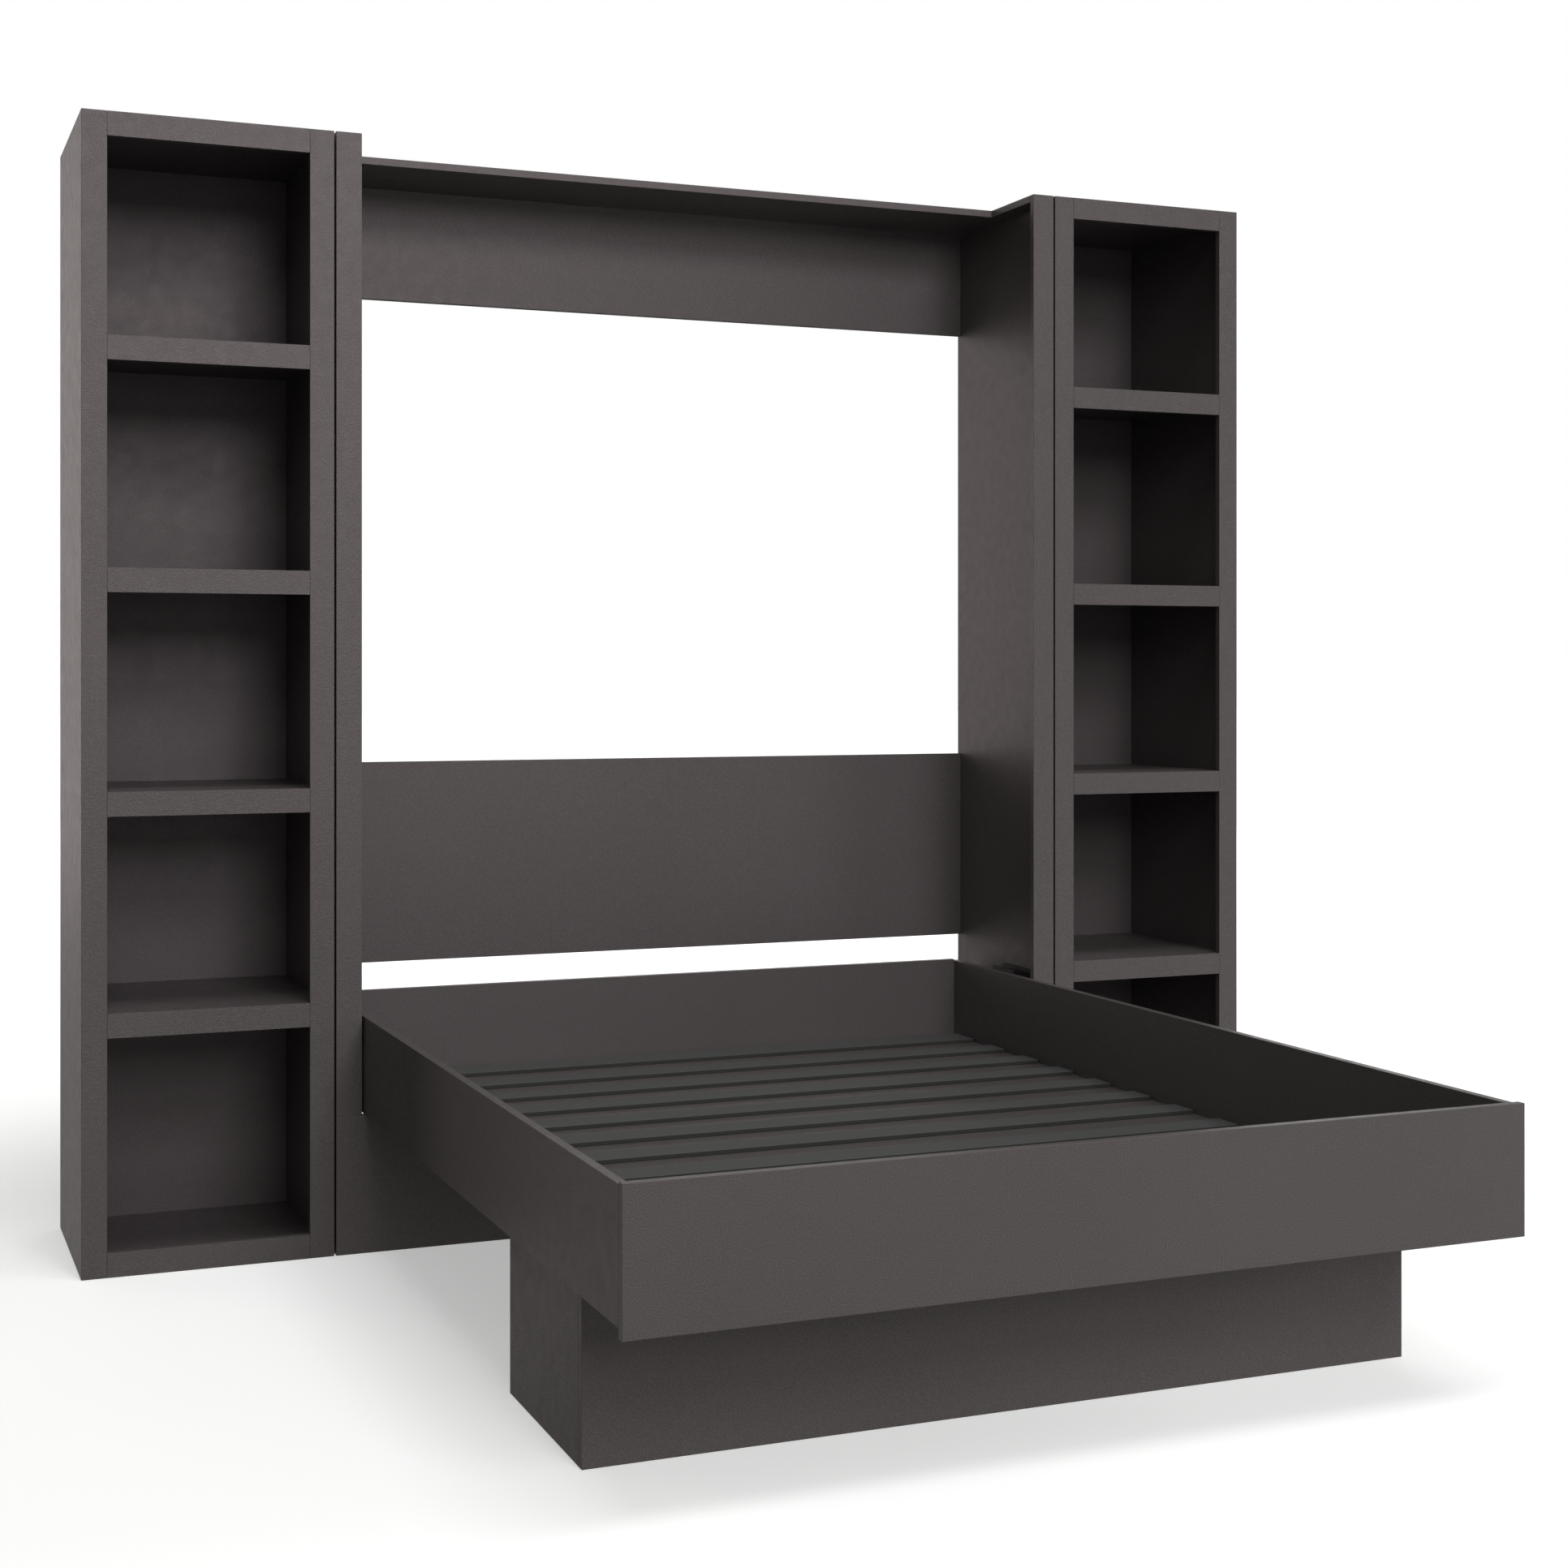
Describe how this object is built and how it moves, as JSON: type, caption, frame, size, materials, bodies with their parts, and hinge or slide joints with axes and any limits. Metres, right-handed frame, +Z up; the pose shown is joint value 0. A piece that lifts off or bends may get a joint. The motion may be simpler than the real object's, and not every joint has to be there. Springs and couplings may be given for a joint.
{
  "type": "murphy wall bed",
  "caption": "Murphy bed folding down from a wall cabinet open at the back, between two narrow open bookcases, in dark graphite boards.",
  "frame": {"origin": "on the floor, under the middle of the whole object as it stands with the bed folded down", "axes": "+Z up, +Y towards the wall, -Y the way the bed folds down, +X to the right seen from the room"},
  "size_m": [2.669, 2.1398, 2.3],
  "materials": {
    "board": "graphite melamine-faced board with a fine matt texture",
    "back_sheet": "thin graphite back sheet with a fine matt texture",
    "slat": "smooth neutral dark grey foil",
    "steel": "satin black painted sheet steel",
    "black_enamel": "semi-gloss black enamel",
    "chrome": "polished rod"
  },
  "bodies": {
    "cabinet": {"front_strip_left": "board", "front_strip_right": "board", "gable_left": "board", "gable_right": "board", "headboard_panel": "board", "hinge_plate_left": "steel", "hinge_plate_right": "steel", "left_bookcase_back_panel": "back_sheet", "left_bookcase_bottom": "board", "left_bookcase_left_side": "board", "left_bookcase_right_side": "board", "left_bookcase_shelf_1": "board", "left_bookcase_shelf_2": "board", "left_bookcase_shelf_3": "board", "left_bookcase_shelf_4": "board", "left_bookcase_top": "board", "lower_front_panel": "board", "right_bookcase_back_panel": "back_sheet", "right_bookcase_bottom": "board", "right_bookcase_left_side": "board", "right_bookcase_right_side": "board", "right_bookcase_shelf_1": "board", "right_bookcase_shelf_2": "board", "right_bookcase_shelf_3": "board", "right_bookcase_shelf_4": "board", "right_bookcase_top": "board", "top_panel": "board", "top_stretcher": "board"},
    "bed": {"bed_bracket_left": "steel", "bed_bracket_right": "steel", "face_panel_left": "board", "face_panel_middle": "board", "face_panel_right": "board", "foot_board": "board", "foot_cleat": "slat", "head_rail": "board", "leg_front_panel": "board", "leg_side_panel_left": "board", "leg_side_panel_right": "board", "side_rail_left": "board", "side_rail_right": "board", "slat_01": "slat", "slat_02": "slat", "slat_03": "slat", "slat_04": "slat", "slat_05": "slat", "slat_06": "slat", "slat_07": "slat", "slat_08": "slat", "slat_09": "slat", "slat_10": "slat", "slat_11": "slat", "slat_12": "slat", "slat_ledger_left": "board", "slat_ledger_right": "board"},
    "gas_cylinder_left": {"gas_cylinder_left": "black_enamel"},
    "gas_cylinder_right": {"gas_cylinder_right": "black_enamel"},
    "gas_rod_left": {"gas_rod_left": "chrome"},
    "gas_rod_right": {"gas_rod_right": "chrome"}
  },
  "joints": [
    {"name": "bed_fold", "type": "hinge", "parent": "cabinet", "child": "bed", "pos_m": [0, 0.77645, 0.4516], "axis": [-1, 0, 0], "range_deg": [0, 90]},
    {"name": "gas_spring_tilt_left", "type": "hinge", "parent": "cabinet", "child": "gas_cylinder_left", "pos_m": [-0.7921, 0.73635, 0.075], "axis": [-1, 0, 0], "range_deg": [0, 3.96]},
    {"name": "gas_rod_slide_left", "type": "slide", "parent": "gas_cylinder_left", "child": "gas_rod_left", "axis": [0, -0.0332, 0.9994], "range_m": [0, 0.0767]},
    {"name": "gas_spring_tilt_right", "type": "hinge", "parent": "cabinet", "child": "gas_cylinder_right", "pos_m": [0.7921, 0.73635, 0.075], "axis": [-1, 0, 0], "range_deg": [0, 3.96]},
    {"name": "gas_rod_slide_right", "type": "slide", "parent": "gas_cylinder_right", "child": "gas_rod_right", "axis": [0, -0.0332, 0.9994], "range_m": [0, 0.0767]}
  ],
  "couplings": [
    {"joint": "gas_spring_tilt_left", "follows": "bed_fold", "ratio": 0.043891},
    {"joint": "gas_rod_slide_left", "follows": "bed_fold", "m_per_rad": 0.048815},
    {"joint": "gas_spring_tilt_right", "follows": "bed_fold", "ratio": 0.043891},
    {"joint": "gas_rod_slide_right", "follows": "bed_fold", "m_per_rad": 0.048815}
  ]
}
